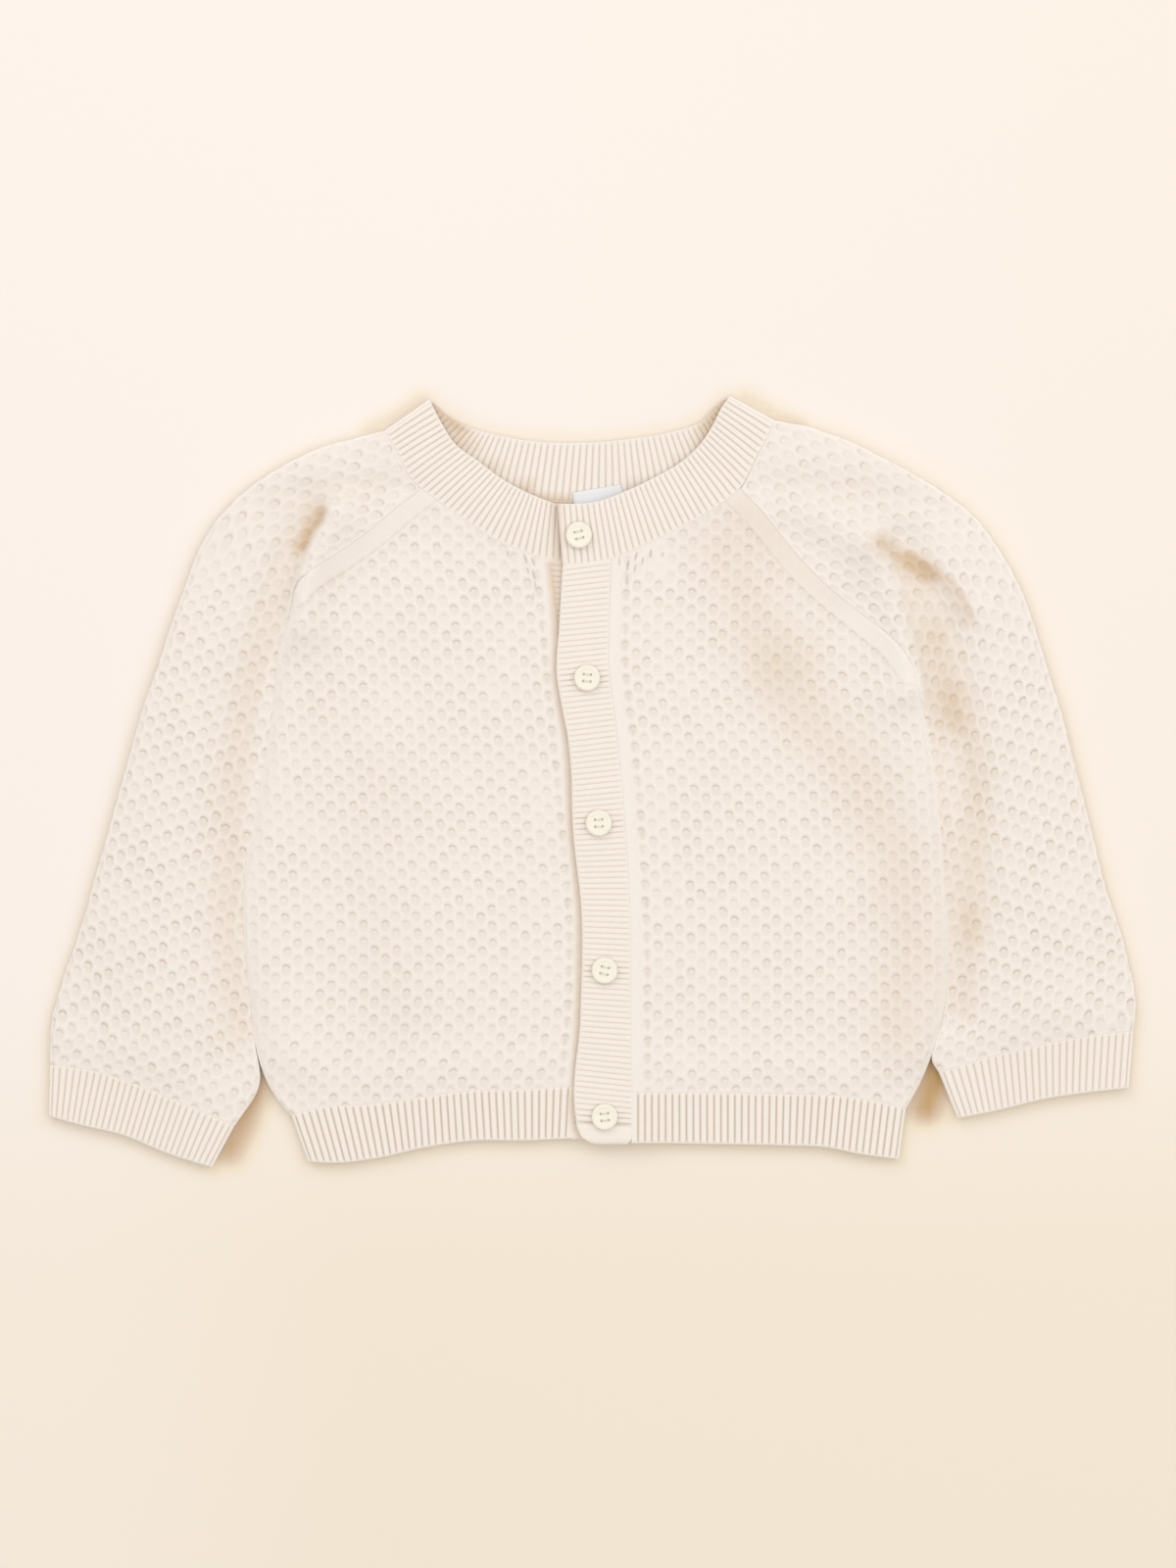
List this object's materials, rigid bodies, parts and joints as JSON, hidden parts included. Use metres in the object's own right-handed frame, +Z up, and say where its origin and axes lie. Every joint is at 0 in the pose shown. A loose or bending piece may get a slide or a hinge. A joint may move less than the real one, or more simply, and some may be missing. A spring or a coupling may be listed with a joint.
{
  "type": "baby cardigan",
  "caption": "Long-sleeved raglan cardigan for a baby in cream honeycomb knit, with ribbed neckband, front bands, cuffs and hem, buttoned up and laid flat on its back.",
  "frame": {"origin": "on the surface it lies on, under the middle of its outline", "axes": "+Z up from the surface, out of the front of the cardigan; +X towards the wearer's left, along the spread of the sleeves; +Y towards the neck"},
  "size_m": [0.4654, 0.3305, 0.0115],
  "materials": {
    "honeycomb_knit": "soft matt knit",
    "ribbing": "soft matt rib knit",
    "label": "satin",
    "buttons": "satin gloss"
  },
  "bodies": {
    "root": {"back_panel": "honeycomb_knit", "right_front_panel": "honeycomb_knit", "left_front_panel": "honeycomb_knit", "right_sleeve": "honeycomb_knit", "left_sleeve": "honeycomb_knit", "right_cuff": "ribbing", "left_cuff": "ribbing", "back_hem_rib": "ribbing", "right_front_hem_rib": "ribbing", "left_front_hem_rib": "ribbing", "button_band": "ribbing", "buttonhole_band": "ribbing", "neckband": "ribbing", "neck_label": "label", "button_1": "buttons", "button_2": "buttons", "button_3": "buttons", "button_4": "buttons", "button_5": "buttons"}
  },
  "joints": []
}
